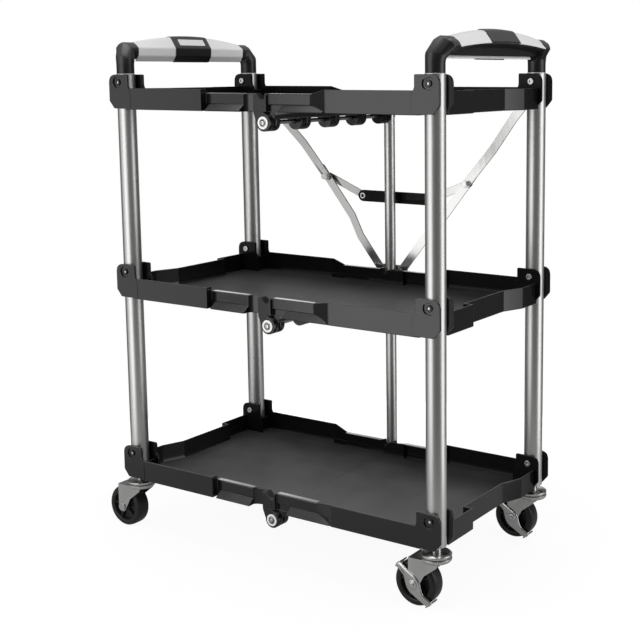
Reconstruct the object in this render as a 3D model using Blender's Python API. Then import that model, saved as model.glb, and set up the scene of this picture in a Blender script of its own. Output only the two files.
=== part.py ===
"""Folding three-shelf service cart: four posts, three shelves hinged in the middle, locking braces and casters.

Units are metres, +Z is up and the floor is z = 0. X runs along the shelves, with the braked casters at +X,
and Y runs from the open front (-Y) to the braces at the back (+Y). The cart stands unfolded.
"""

import math

import bmesh
import bpy
import numpy as np
from mathutils import Matrix, Vector

MM = 0.001

# Overall layout
POST_PITCH_X = 635 * MM
POST_PITCH_Y = 325 * MM
SHELF_PITCH = 332.5 * MM
SHELVES = ("bottom", "middle", "top")
# The cart's centre stands off the origin, which is the middle of its footprint
CENTRE_X = 18.6 * MM
CENTRE_Y = -13.3 * MM

# Clearances, how deep a joined piece sinks into its neighbour, and how far a cutting shape runs past it
GAP = 0.3 * MM
RUNNING = 0.3 * MM
SPLIT = 0.15 * MM
SINK = 1 * MM
PAST = 5 * MM

# Posts
POST_R = 16 * MM
POST_WALL = 1.7 * MM
POST_ABOVE_PIVOT = 14.5 * MM
POST_BELOW_PIVOT = 43 * MM
CENTRE_POST_R = 10 * MM
CENTRE_POST_WALL = 1.5 * MM
CENTRE_POST_BEHIND = 7 * MM
CENTRE_POST_END = 14 * MM

# Shelf trays, measured from the pivot bolts: u runs towards the hinge, v across, z up
TRAY_WALL = 3 * MM
TRAY_TOP = -10 * MM
TRAY_LIP = -17 * MM
TRAY_FLOOR = -43.5 * MM
TRAY_BOTTOM = -46.5 * MM
RECESS_DEPTH = 13 * MM
STEP_U = 192.5 * MM
RAMP_START_U = 187.5 * MM
RAMP_END_U = 226 * MM
END_U = -12.5 * MM
END_RECESS = 15 * MM
END_STEP_V = 70 * MM
END_RAMP_START_V = -55 * MM
END_RAMP_END_V = -95 * MM
NOTCH_CLEAR = 1 * MM
NOTCH_SIDE = 0.1 * MM
NOTCH_PAST = 0.5 * MM
LEDGE_Z = -36.5 * MM
LEDGE_END = 17 * MM
HINGE_NOTCH_U = 14 * MM
HINGE_NOTCH_Z = -27 * MM
HINGE_NOTCH_LIFT = 0.1 * MM
LUG_COLUMN = 19 * MM

# Ears that straddle the posts
EAR_THICK = 4.2 * MM
EAR_IN = 24 * MM
EAR_OUT = 20 * MM
EAR_UP = 13.5 * MM
EAR_DOWN = 45 * MM
EAR_ROUND = 15 * MM
EAR_CHAMFER = 12 * MM
RECESS_R = 8 * MM
RECESS_WEB = 1.8 * MM

# Pivot bolts
BOLT_R = 3.5 * MM
BOLT_HEAD_R = 5.5 * MM
BOLT_HEAD = 2.3 * MM

# Centre hinge
HINGE_DROP = 63.75 * MM
KNUCKLE_R = 14 * MM
KNUCKLE_WIDE = 12 * MM
KNUCKLE_GAP = 3 * MM
KNUCKLE_PAIRS = 5
LUG_PROUD = 4.5 * MM
ROD_R = 4 * MM
ROD_WASHER_R = 8 * MM
ROD_HEAD = 2 * MM

# Folding braces: flat bars from the top back bolts over an elbow to the centre post
BAR_THICK = 2.5 * MM
BAR_WIDE = 16 * MM
BAR_TIP = 0.12
FOOT_X = 21 * MM
FOOT_ABOVE_PIN = 39.25 * MM
ELBOW_X = 158 * MM
ELBOW_DROP = 185 * MM
UPPER_BENDS = (84 * MM, 160 * MM)
LOWER_BENDS = (79 * MM, 125 * MM)
ELBOW_TAIL = 20 * MM
FOOT_BEHIND = 2 * MM
FOOT_PLATE_HIGH = 22 * MM
FOOT_PLATE_PAST = 10 * MM
RIVET_R = 4 * MM
RIVET_HEAD_R = 5.5 * MM
RIVET_HEAD = 1.4 * MM
RELEASE_X = 75.6 * MM
RELEASE_DROP = 219 * MM
RELEASE_HIGH = 22 * MM
RELEASE_THICK = 3 * MM
RELEASE_RING = 1 * MM
RELEASE_RING_R = 5.7 * MM
SHORT_LINK_WIDE = 14 * MM

# Handles
GRIP_LOW = 39.5 * MM
GRIP_TOP_END = 70 * MM
GRIP_TOP_MIDDLE = 82 * MM
GRIP_HALF_DEEP = 19.5 * MM
GRIP_OUTBOARD = 11 * MM
GRIP_END_Y = 137 * MM
GRIP_ROUND = 2.6
CUFF_LONG = 8 * MM
CUFF_SHARE = 0.9
KNEE = (4 * MM, 5 * MM, 11 * MM)
KNEE_UP = (-0.75, 0.66)
COVER_THICK = 2.5 * MM
COVER_ANGLES = np.radians(np.linspace(4, 238, 11))
COVER_STEP = math.radians(3)
INSERT_HALF = 45 * MM
INSERT_THICK = 1.5 * MM
SOCKET_R = 15 * MM
SOCKET_TOP = 40 * MM
SPIGOT = 9 * MM

# Casters
WHEEL_R = 37.5 * MM
WHEEL_WIDE = 28 * MM
TYRE_ROUND = 3.5 * MM
HUB_R = 26 * MM
HUB_DEEP = 7 * MM
HUB_TAPER = 1 * MM
BOSS_R = 10.5 * MM
SPOKES = 5
SPOKE_THICK = 3.5 * MM
AXLE_R = 5 * MM
AXLE_HEAD_R = 7.5 * MM
AXLE_HEAD = 2 * MM
CASTER_TRAIL = 32 * MM
SWIVEL_R = 24.5 * MM
SWIVEL_EDGE = 2 * MM
LOWER_RACE = 4.5 * MM
UPPER_RACE = 7 * MM
FORK_THICK = 2.5 * MM
FORK_OVER_WHEEL = 3 * MM
FORK_SIDE_GAP = 1.8 * MM
FORK_BOSS_R = 9 * MM
# The arm's front edge, from its knee to its shoulder and nose, forward of the stem and below the fork's top
FORK_KNEE = (-12 * MM, 25.5 * MM)
FORK_SHOULDER = (10 * MM, 8.5 * MM)
FORK_NOSE = 14 * MM
STEM_R = 8 * MM
STEM_LONG = 10 * MM
PLUG_LONG = 18 * MM
PEDAL_THICK = 2.2 * MM
PEDAL_TAB = 26 * MM
PEDAL_CLEAR = 1.2 * MM
PEDAL_WAIST = 15 * MM
PEDAL_TABS = ((146, 160), (306, 322))

# Worked out from the sizes above
HALF_X = POST_PITCH_X / 2
HALF_Y = POST_PITCH_Y / 2
FORK_TOP = 2 * WHEEL_R + FORK_OVER_WHEEL + FORK_THICK
SWIVEL_SPLIT = FORK_TOP + LOWER_RACE
SWIVEL_TOP = SWIVEL_SPLIT + UPPER_RACE
FIRST_PIVOT_Z = SWIVEL_TOP + STEM_LONG + POST_BELOW_PIVOT
TOP_PIVOT_Z = FIRST_PIVOT_Z + SHELF_PITCH * (len(SHELVES) - 1)
HINGE_U = HALF_X - SPLIT
OUTER_EAR_IN = HALF_Y + POST_R + GAP
OUTER_EAR_OUT = OUTER_EAR_IN + EAR_THICK
INNER_EAR_OUT = HALF_Y - POST_R - GAP
INNER_EAR_IN = INNER_EAR_OUT - EAR_THICK
POST_NOTCH_U = POST_R + NOTCH_CLEAR
TRAY_HALF_WIDTH = OUTER_EAR_OUT
RECESS_V = TRAY_HALF_WIDTH - RECESS_DEPTH
# The outermost knuckles end a little proud of the recessed wall
KNUCKLE_SPAN = 2 * (RECESS_V + LUG_PROUD) - KNUCKLE_GAP - 2 * KNUCKLE_WIDE
KNUCKLE_PITCH = KNUCKLE_SPAN / (KNUCKLE_PAIRS - 1)
CENTRE_POST_Y = RECESS_V + CENTRE_POST_BEHIND + CENTRE_POST_R
FOOT_Y = CENTRE_POST_Y + FOOT_BEHIND
FOOT_DROP = SHELF_PITCH + HINGE_DROP - FOOT_ABOVE_PIN
# Layers of the braces behind the back ears and the centre post
UPPER_END_Y = TRAY_HALF_WIDTH + 2 * GAP
UPPER_Y = CENTRE_POST_Y + CENTRE_POST_R + BAR_THICK
LOWER_Y = UPPER_Y + BAR_THICK + GAP
RELEASE_Y = LOWER_Y + BAR_THICK + GAP + RELEASE_RING
SHORT_Y = RELEASE_Y + RELEASE_THICK + GAP
FORK_IN = WHEEL_WIDE / 2 + FORK_SIDE_GAP
FORK_OUT = FORK_IN + FORK_THICK


def clear_scene():
    for obj in list(bpy.data.objects):
        bpy.data.objects.remove(obj, do_unlink=True)
    for mesh in list(bpy.data.meshes):
        bpy.data.meshes.remove(mesh)


def material(name, colour, roughness, metallic=0.0):
    made = bpy.data.materials.new(name)
    made.use_nodes = True
    shader = made.node_tree.nodes["Principled BSDF"]
    shader.inputs["Base Color"].default_value = (*colour, 1.0)
    shader.inputs["Roughness"].default_value = roughness
    shader.inputs["Metallic"].default_value = metallic
    return made


clear_scene()
SILVER = material("satin_silver", (0.55, 0.55, 0.55), 0.35, 1.0)
ZINC = material("bright_zinc", (0.72, 0.72, 0.72), 0.22, 1.0)
BLACK = material("black_plastic", (0.025, 0.025, 0.027), 0.45)
TYRE = material("black_tyre", (0.02, 0.02, 0.02), 0.6)
GREY = material("silver_cover", (0.7, 0.7, 0.7), 0.4, 0.3)

root = bpy.data.objects.new("cart", None)
root.location = (CENTRE_X, CENTRE_Y, 0)
bpy.context.scene.collection.objects.link(root)


def to_mesh(name, bm):
    bmesh.ops.recalc_face_normals(bm, faces=bm.faces)
    mesh = bpy.data.meshes.new(name)
    bm.to_mesh(mesh)
    bm.free()
    return mesh


def loft(name, rings, closed=False):
    """Skin a list of rings, each with the same number of points, and cap the ends."""
    bm = bmesh.new()
    rows = [[bm.verts.new(point) for point in ring] for ring in rings]
    count = len(rows[0])
    pairs = list(zip(rows, rows[1:]))
    if closed:
        pairs.append((rows[-1], rows[0]))
    for low, high in pairs:
        for i in range(count):
            j = (i + 1) % count
            bm.faces.new((low[i], low[j], high[j], high[i]))
    if not closed:
        bm.faces.new(rows[0][::-1])
        bm.faces.new(rows[-1])
    return to_mesh(name, bm)


def prism(name, outline, low, high, axis="z"):
    """Extrude a flat outline. On axis z it is (x, y), and on axis y it is (x, z)."""
    if axis == "z":
        rings = [[(a, b, level) for a, b in outline] for level in (low, high)]
    else:
        rings = [[(a, level, b) for a, b in outline] for level in (low, high)]
    return loft(name, rings)


def box(name, low, high):
    outline = [(low[0], low[1]), (high[0], low[1]), (high[0], high[1]), (low[0], high[1])]
    return prism(name, outline, low[2], high[2])


def turned(name, profile, steps, axis="z", centre=(0, 0, 0), closed=False):
    """Turn a profile of (radius, height) points about an axis through the centre."""
    rings = []
    for radius, height in profile:
        ring = []
        for k in range(steps):
            angle = math.tau * k / steps
            across, along = radius * math.cos(angle), radius * math.sin(angle)
            point = (across, along, height) if axis == "z" else (across, height, along)
            ring.append(Vector(centre) + Vector(point))
        rings.append(ring)
    return loft(name, rings, closed)


def arc(centre, radius, start, end, steps):
    angles = np.radians(np.linspace(start, end, steps + 1))
    return [(centre[0] + radius * math.cos(a), centre[1] + radius * math.sin(a)) for a in angles]


def inset(outline, distance):
    """Move each side of an anticlockwise outline inwards by a distance."""
    points = [Vector(p) for p in outline]
    moved = []
    for i, point in enumerate(points):
        before = (point - points[i - 1]).normalized()
        after = (points[(i + 1) % len(points)] - point).normalized()
        normal = Vector((-before.y, before.x)) + Vector((-after.y, after.x))
        scale = distance / (1 + before.dot(after))
        moved.append(tuple(point + normal * scale))
    return moved


def shifted(mesh, offset):
    mesh.transform(Matrix.Translation(offset))
    return mesh


def combine(target, tools, operation):
    """Join tool meshes to a mesh, or cut them from it, and give back the result."""
    base = bpy.data.objects.new("base", target)
    bpy.context.scene.collection.objects.link(base)
    helpers = [base]
    for tool in tools:
        helper = bpy.data.objects.new("helper", tool)
        bpy.context.scene.collection.objects.link(helper)
        helpers.append(helper)
        modifier = base.modifiers.new("combine", "BOOLEAN")
        modifier.operation = operation
        modifier.solver = "EXACT"
        modifier.object = helper
    bpy.context.view_layer.update()
    graph = bpy.context.evaluated_depsgraph_get()
    result = bpy.data.meshes.new_from_object(base.evaluated_get(graph))
    result.name = target.name
    for helper in helpers:
        bpy.data.objects.remove(helper, do_unlink=True)
    return result


def joined(target, tools):
    return combine(target, tools, "UNION")


def cut(target, tools):
    return combine(target, tools, "DIFFERENCE")


def place(name, mesh, look, location=(0, 0, 0), turn=0.0, smooth=30):
    """Put a mesh in the cart as one named piece, turned about Z by an angle in degrees."""
    piece = bpy.data.objects.new(name, mesh)
    if not mesh.materials:
        mesh.materials.append(look)
    mesh.shade_smooth()
    mesh.set_sharp_from_angle(angle=math.radians(smooth))
    piece.location = location
    piece.rotation_euler.z = math.radians(turn)
    piece.parent = root
    bpy.context.scene.collection.objects.link(piece)
    return piece


def hole_y(x, z, radius, low, high, steps=12):
    return turned("hole", [(radius, low), (radius, high)], steps, "y", (x, 0, z))


def pivot_z(level):
    return FIRST_PIVOT_Z + SHELF_PITCH * level


# Posts
def tube(name, outer, wall, low, high, steps):
    inner = outer - wall
    return turned(name, [(outer, low), (outer, high), (inner, high), (inner, low)], steps, closed=True)


def build_posts():
    low = FIRST_PIVOT_Z - POST_BELOW_PIVOT
    high = TOP_PIVOT_Z + POST_ABOVE_PIVOT
    body = tube("post", POST_R, POST_WALL, low, high, 24)
    reach = POST_R * 1.5
    holes = [hole_y(0, pivot_z(i), BOLT_R + RUNNING, -reach, reach, 10) for i in range(len(SHELVES))]
    mesh = cut(body, holes)
    for side, x in (("left", -HALF_X), ("right", HALF_X)):
        for end, y in (("front", -HALF_Y), ("back", HALF_Y)):
            place(f"post_{end}_{side}", mesh, SILVER, (x, y, 0))
    bottom = pivot_z(0) - HINGE_DROP - CENTRE_POST_END
    top = TOP_PIVOT_Z - HINGE_DROP + CENTRE_POST_END
    centre = tube("centre_post", CENTRE_POST_R, CENTRE_POST_WALL, bottom, top, 20)
    pins = [pivot_z(i) - HINGE_DROP for i in range(len(SHELVES))]
    holes = [hole_y(0, z, ROD_R + RUNNING, -reach, reach, 10) for z in pins]
    place("post_centre", cut(centre, holes), SILVER, (0, CENTRE_POST_Y, 0))


# Half shelves, all from one mesh: the right ones are the left ones turned half round
def tray_outline():
    wide = TRAY_HALF_WIDTH
    inner = INNER_EAR_OUT
    return [
        (POST_NOTCH_U, -wide), (STEP_U, -wide), (STEP_U, -RECESS_V), (HINGE_U, -RECESS_V),
        (HINGE_U, RECESS_V), (RAMP_END_U, RECESS_V), (RAMP_START_U, wide), (POST_NOTCH_U, wide),
        (POST_NOTCH_U, inner), (END_U, inner), (END_U, END_STEP_V), (END_U + END_RECESS, END_STEP_V),
        (END_U + END_RECESS, END_RAMP_START_V), (END_U, END_RAMP_END_V), (END_U, -inner),
        (POST_NOTCH_U, -inner),
    ]


def ear_outline():
    top_centre = (-EAR_OUT + EAR_ROUND, EAR_UP - EAR_ROUND)
    points = [(EAR_IN, -EAR_DOWN), (EAR_IN, EAR_UP)]
    points += arc(top_centre, EAR_ROUND, 90, 180, 4)
    points += [(-EAR_OUT, -EAR_DOWN + EAR_CHAMFER), (-EAR_OUT + EAR_CHAMFER, -EAR_DOWN)]
    return points


def knuckle_outline(column_top):
    """A knuckle round the hinge rod, with the web or column that carries it."""
    width = LUG_COLUMN if column_top > TRAY_BOTTOM else 2 * KNUCKLE_R
    rod = (HALF_X, -HINGE_DROP)
    points = [(HINGE_U - width, column_top), (HINGE_U - width, TRAY_BOTTOM)]
    points += arc(rod, KNUCKLE_R, 180, 450, 12)
    points += [(HINGE_U, column_top)]
    return points


def knuckle_places():
    first = -KNUCKLE_PITCH * (KNUCKLE_PAIRS - 1) / 2
    half_gap = KNUCKLE_GAP / 2
    return [first + KNUCKLE_PITCH * i - half_gap - KNUCKLE_WIDE for i in range(KNUCKLE_PAIRS)]


def half_shelf_mesh():
    outline = tray_outline()
    tray = prism("half_shelf", outline, TRAY_BOTTOM, TRAY_TOP)
    inner = inset(outline, TRAY_WALL)
    past = HINGE_U + 2 * PAST
    hollow = [(past if u > HINGE_U - TRAY_WALL * 1.5 else u, v) for u, v in inner]
    tray = cut(tray, [prism("hollow", hollow, TRAY_FLOOR, PAST)])
    wide = TRAY_HALF_WIDTH
    band = [(-RECESS_V + SINK, LEDGE_Z), (-wide, TRAY_BOTTOM), (-RECESS_V + SINK, TRAY_BOTTOM)]

    def ledge(sign, start, end):
        rings = [[(u, v * sign, z) for v, z in band] for u in (start, end)]
        return loft("ledge", rings)

    additions = [ledge(1, STEP_U - SINK, HINGE_U - LUG_COLUMN + SINK)]
    additions.append(ledge(-1, (RAMP_START_U + RAMP_END_U) / 2, HINGE_U - LEDGE_END))
    for sign in (-1, 1):
        low, high = sorted((sign * OUTER_EAR_IN, sign * OUTER_EAR_OUT))
        additions.append(prism("outer_ear", ear_outline(), low, high, "y"))
        low, high = sorted((sign * INNER_EAR_IN, sign * INNER_EAR_OUT))
        additions.append(prism("inner_ear", ear_outline(), low, high, "y"))
    for index, low in enumerate(knuckle_places()):
        top = TRAY_LIP if index == 0 else TRAY_BOTTOM + SINK
        additions.append(prism("knuckle", knuckle_outline(top), low, low + KNUCKLE_WIDE, "y"))
    tray = joined(tray, additions)
    outside = wide + PAST
    lip_in = RECESS_V - 2 * TRAY_WALL
    post_low, post_high = INNER_EAR_OUT + NOTCH_SIDE, OUTER_EAR_IN - NOTCH_SIDE
    notch_end = POST_NOTCH_U + TRAY_WALL + NOTCH_PAST
    cutters = [
        box("step_lip", (STEP_U - TRAY_WALL - GAP, -outside, TRAY_LIP), (past, -lip_in, PAST)),
        box("ramp_lip", (RAMP_START_U, lip_in, TRAY_LIP), (past, outside, PAST)),
        box("front_notch", (POST_R / 2, -post_high, TRAY_LIP), (notch_end, -post_low, PAST)),
        box("back_notch", (POST_R / 2, post_low, TRAY_LIP), (notch_end, post_high, PAST)),
    ]
    notch_start = HINGE_U - HINGE_NOTCH_U
    slope = [(notch_start, TRAY_LIP + HINGE_NOTCH_LIFT), (notch_start + HINGE_NOTCH_U / 2, HINGE_NOTCH_Z)]
    slope += [(past, HINGE_NOTCH_Z), (past, PAST), (notch_start, PAST)]
    cutters.append(prism("hinge_notch", slope, -outside, outside, "y"))
    for sign in (-1, 1):
        low, high_v = sorted((sign * (OUTER_EAR_IN + RECESS_WEB), sign * outside))
        cutters.append(hole_y(0, 0, RECESS_R, low, high_v, 16))
    cutters.append(hole_y(0, 0, BOLT_R + RUNNING, -outside, outside, 10))
    cutters.append(hole_y(HALF_X, -HINGE_DROP, ROD_R + RUNNING, -outside, outside, 10))
    return cut(tray, cutters)


def build_shelves():
    mesh = half_shelf_mesh()
    for level, name in enumerate(SHELVES):
        place(f"shelf_{name}_left", mesh, BLACK, (-HALF_X, 0, pivot_z(level)))
        place(f"shelf_{name}_right", mesh, BLACK, (HALF_X, 0, pivot_z(level)), 180)


# Pivot bolts and hinge rods
def bolt_mesh(head_start, head_end, tail_start, tail_end):
    profile = [(BOLT_HEAD_R, head_start), (BOLT_HEAD_R, head_end), (BOLT_R, head_end)]
    profile += [(BOLT_R, tail_start), (BOLT_HEAD_R, tail_start), (BOLT_HEAD_R, tail_end)]
    return turned("bolt", profile, 10, "y")


def build_bolts():
    seat = OUTER_EAR_IN + RECESS_WEB + GAP
    inner = INNER_EAR_IN - GAP
    front = bolt_mesh(-seat - BOLT_HEAD, -seat, -inner, -inner + BOLT_HEAD)
    back = bolt_mesh(inner - BOLT_HEAD, inner, seat, seat + BOLT_HEAD)
    link_end = UPPER_END_Y + BAR_THICK + GAP
    braced = bolt_mesh(inner - BOLT_HEAD, inner, link_end, link_end + BOLT_HEAD)
    for side, x in (("left", -HALF_X), ("right", HALF_X)):
        for level, name in enumerate(SHELVES):
            place(f"bolt_front_{side}_{name}", front, ZINC, (x, 0, pivot_z(level)))
            long = level == len(SHELVES) - 1
            place(f"bolt_back_{side}_{name}", braced if long else back, ZINC, (x, 0, pivot_z(level)))


def build_rods():
    start = knuckle_places()[0] - GAP
    end = CENTRE_POST_Y + CENTRE_POST_R + GAP
    profile = [(ROD_WASHER_R, start - ROD_HEAD), (ROD_WASHER_R, start), (ROD_R, start)]
    profile += [(ROD_R, end), (BOLT_HEAD_R, end), (BOLT_HEAD_R, end + ROD_HEAD)]
    mesh = turned("rod", profile, 12, "y")
    for level, name in enumerate(SHELVES):
        place(f"hinge_rod_{name}", mesh, ZINC, (0, 0, pivot_z(level) - HINGE_DROP))


# Braces: each bar is drawn along its own length, s from its first pivot, then turned into place
def bar_mesh(name, length, wide, thick, bends, levels, tail=0.0):
    """A flat bar with round ends that jogs across Y from the first level to the second."""
    half = wide / 2
    stations = [(-half, 0)]
    stations += [(-half * math.cos(math.radians(a)), math.sin(math.radians(a))) for a in (30, 60)]
    stations += [(0, 1)]
    if bends:
        stations += [(bends[0], 1), (bends[1], 1)]
    last = length + tail
    stations += [(last, 1)]
    stations += [(last + half * math.sin(math.radians(a)), math.cos(math.radians(a))) for a in (30, 60)]
    stations += [(last + half, 0)]
    rings = []
    for s, share in stations:
        across = half * max(share, BAR_TIP)
        near = levels[0]
        if bends:
            part = min(max((s - bends[0]) / (bends[1] - bends[0]), 0), 1)
            near = levels[0] + (levels[1] - levels[0]) * part
        far = near + thick
        rings.append([(s, near, -across), (s, near, across), (s, far, across), (s, far, -across)])
    return loft(name, rings)


def stud(x, z, radius, low, high, steps=12):
    return turned("stud", [(radius, low), (radius, high)], steps, "y", (x, 0, z))


def aim(mesh, start, end):
    """Turn a bar drawn along +X so that it runs from one point to another in the XZ plane."""
    angle = math.atan2(end[1] - start[1], end[0] - start[0])
    turn = Matrix.Rotation(-angle, 4, "Y")
    mesh.transform(Matrix.Translation((start[0], 0, start[1])) @ turn)
    return mesh


def build_braces():
    elbow_z = TOP_PIVOT_Z - ELBOW_DROP
    foot_z = TOP_PIVOT_Z - FOOT_DROP
    release_z = TOP_PIVOT_Z - RELEASE_DROP
    for side, sign in (("left", -1), ("right", 1)):
        top = (sign * HALF_X, TOP_PIVOT_Z)
        elbow = (sign * ELBOW_X, elbow_z)
        foot = (sign * FOOT_X, foot_z)
        release = (sign * RELEASE_X, release_z)

        length = math.dist(top, elbow)
        upper = bar_mesh("upper", length, BAR_WIDE, BAR_THICK, UPPER_BENDS, (UPPER_END_Y, UPPER_Y))
        upper = joined(upper, [stud(length, 0, RIVET_HEAD_R, UPPER_Y - RIVET_HEAD, UPPER_Y + BAR_THICK / 2)])
        upper = cut(upper, [hole_y(0, 0, BOLT_R + RUNNING, 0, 2 * TRAY_HALF_WIDTH, 10)])
        place(f"brace_upper_{side}", aim(upper, top, elbow), ZINC)

        length = math.dist(foot, elbow)
        lower = bar_mesh("lower", length, BAR_WIDE, BAR_THICK, LOWER_BENDS, (FOOT_Y, LOWER_Y), ELBOW_TAIL)
        lower = cut(lower, [hole_y(0, 0, RIVET_R + RUNNING, 0, 2 * TRAY_HALF_WIDTH, 10)])
        end = SHORT_Y + BAR_THICK + GAP
        profile = [(RIVET_R, LOWER_Y + BAR_THICK / 2), (RIVET_R, end)]
        profile += [(RIVET_HEAD_R, end), (RIVET_HEAD_R, end + RIVET_HEAD)]
        lower = joined(lower, [turned("rivet", profile, 12, "y", (length, 0, 0))])
        place(f"brace_lower_{side}", aim(lower, foot, elbow), ZINC)

        length = math.dist(elbow, release)
        short = bar_mesh("short", length, SHORT_LINK_WIDE, BAR_THICK, (), (SHORT_Y, SHORT_Y))
        short = cut(short, [hole_y(0, 0, RIVET_R + RUNNING, 0, 2 * TRAY_HALF_WIDTH, 10)])
        back = SHORT_Y + BAR_THICK
        short = joined(short, [stud(length, 0, RIVET_HEAD_R, back - BAR_THICK / 2, back + RIVET_HEAD)])
        place(f"brace_short_{side}", aim(short, elbow, release), ZINC)

    release_bar = bar_mesh("release", 2 * RELEASE_X, RELEASE_HIGH, RELEASE_THICK, (), (RELEASE_Y, RELEASE_Y))
    ends = (0, 2 * RELEASE_X)
    rings = [stud(x, 0, RELEASE_RING_R, RELEASE_Y - RELEASE_RING, RELEASE_Y + SINK) for x in ends]
    release_bar = joined(release_bar, rings)
    place("release_bar", shifted(release_bar, (-RELEASE_X, 0, release_z)), BLACK)

    plate_y = CENTRE_POST_Y + CENTRE_POST_R + GAP / 2
    plate_half = FOOT_X + FOOT_PLATE_PAST
    low = (-plate_half, plate_y, foot_z - FOOT_PLATE_HIGH / 2)
    high = (plate_half, plate_y + BAR_THICK - GAP, foot_z + FOOT_PLATE_HIGH / 2)
    head = FOOT_Y - GAP
    profile = [(RIVET_HEAD_R, head - RIVET_HEAD), (RIVET_HEAD_R, head)]
    profile += [(RIVET_R, head), (RIVET_R, plate_y + SINK)]
    studs = [turned("stud", profile, 12, "y", (sign * FOOT_X, 0, foot_z)) for sign in (-1, 1)]
    place("brace_foot_plate", joined(box("foot_plate", low, high), studs), ZINC)


# Handles: o runs outboard from the posts, and heights are above the top pivots
def grip_top(y):
    return GRIP_TOP_END + (GRIP_TOP_MIDDLE - GRIP_TOP_END) * (1 - (y / GRIP_END_Y) ** 2)


def grip_point(y, angle, shrink=0.0, share=1.0):
    """A point on the grip's rounded outline at one place along it."""
    top = grip_top(y)
    half_high = (top - GRIP_LOW) / 2 * share - shrink
    half_deep = GRIP_HALF_DEEP * share - shrink
    c, s = math.cos(angle), math.sin(angle)
    o = GRIP_OUTBOARD + half_deep * math.copysign(abs(c) ** (2 / GRIP_ROUND), c)
    z = (top + GRIP_LOW) / 2 + half_high * math.copysign(abs(s) ** (2 / GRIP_ROUND), s)
    return (o, y, z)


def round_ring(centre, across, up, radius, angles):
    """A circle of points, starting outboard and turning towards the second axis."""
    return [Vector(centre) + radius * (math.cos(a) * Vector(across) + math.sin(a) * Vector(up)) for a in angles]


def handle_frame_mesh():
    covered = list(COVER_ANGLES)
    covered = [covered[0] - COVER_STEP] + covered + [covered[-1] + COVER_STEP]
    bare = list(np.linspace(covered[-1] + COVER_STEP, covered[0] - COVER_STEP + math.tau, 5))
    angles = covered + bare
    out = (1, 0, 0)
    spigot_r = POST_R - POST_WALL - GAP
    seat = POST_ABOVE_PIVOT + GAP
    stations = [
        ((0, -HALF_Y, seat - SPIGOT), (0, -1, 0), spigot_r),
        ((0, -HALF_Y, seat), (0, -1, 0), spigot_r),
        ((0, -HALF_Y, seat), (0, -1, 0), SOCKET_R),
        ((0, -HALF_Y, SOCKET_TOP), (0, -1, 0), SOCKET_R),
        ((KNEE[0], -HALF_Y + KNEE[1], SOCKET_TOP + KNEE[2]), (0, *KNEE_UP), SOCKET_R),
    ]
    near = [round_ring(centre, out, up, radius, angles) for centre, up, radius in stations]
    cuff = GRIP_END_Y + CUFF_LONG
    inside = COVER_THICK + GAP
    middle = [[grip_point(-cuff, a, share=CUFF_SHARE) for a in angles]]
    for y in np.linspace(-GRIP_END_Y, GRIP_END_Y, 9):
        middle.append([grip_point(y, a, inside) for a in covered] + [grip_point(y, a) for a in bare])
    middle.append([grip_point(cuff, a, share=CUFF_SHARE) for a in angles])
    far = [[(p[0], -p[1], p[2]) for p in ring] for ring in reversed(near)]
    return loft("handle_frame", near + middle + far)


def shell_mesh(name, low, high, outer, thick, steps):
    """A cover over the grip's top and inner side, between two places along it."""
    rings = []
    for y in np.linspace(low, high, steps):
        ring = [grip_point(y, a, -outer) for a in COVER_ANGLES]
        ring += [grip_point(y, a, thick - outer) for a in reversed(COVER_ANGLES)]
        rings.append(ring)
    return loft(name, rings)


def build_handles():
    frame = handle_frame_mesh()
    cover = shell_mesh("cover", -GRIP_END_Y + GAP, GRIP_END_Y - GAP, 0.0, COVER_THICK, 9)
    saddle = shell_mesh("saddle", -INSERT_HALF, INSERT_HALF, INSERT_THICK + GAP, INSERT_THICK, 5)
    for side, x, turn in (("left", -HALF_X, 180), ("right", HALF_X, 0)):
        spot = (x, 0, TOP_PIVOT_Z)
        place(f"handle_frame_{side}", frame, BLACK, spot, turn)
        place(f"handle_cover_{side}", cover, GREY, spot, turn)
        place(f"handle_insert_{side}", saddle, BLACK, spot, turn)


# Casters, drawn with the wheel trailing towards -X
def wheel_mesh():
    half = WHEEL_WIDE / 2
    web = half - HUB_DEEP
    bore = AXLE_R + RUNNING
    edge = TYRE_ROUND
    side = [(bore, half), (BOSS_R, half), (BOSS_R, web), (HUB_R, web), (HUB_R + HUB_TAPER, half)]
    side += [(WHEEL_R - edge, half), (WHEEL_R - edge * 0.3, half - edge * 0.3), (WHEEL_R, half - edge)]
    profile = side + [(radius, -height) for radius, height in reversed(side)]
    wheel = turned("wheel", profile, 24, "y", closed=True)
    low = (BOSS_R - SINK, SINK - half, -SPOKE_THICK / 2)
    high = (HUB_R + 0.8 * HUB_TAPER, half - SINK, SPOKE_THICK / 2)
    spokes = []
    for k in range(SPOKES):
        spoke = box("spoke", low, high)
        spoke.transform(Matrix.Rotation(math.tau * k / SPOKES, 4, "Y"))
        spokes.append(spoke)
    return joined(wheel, spokes)


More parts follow.
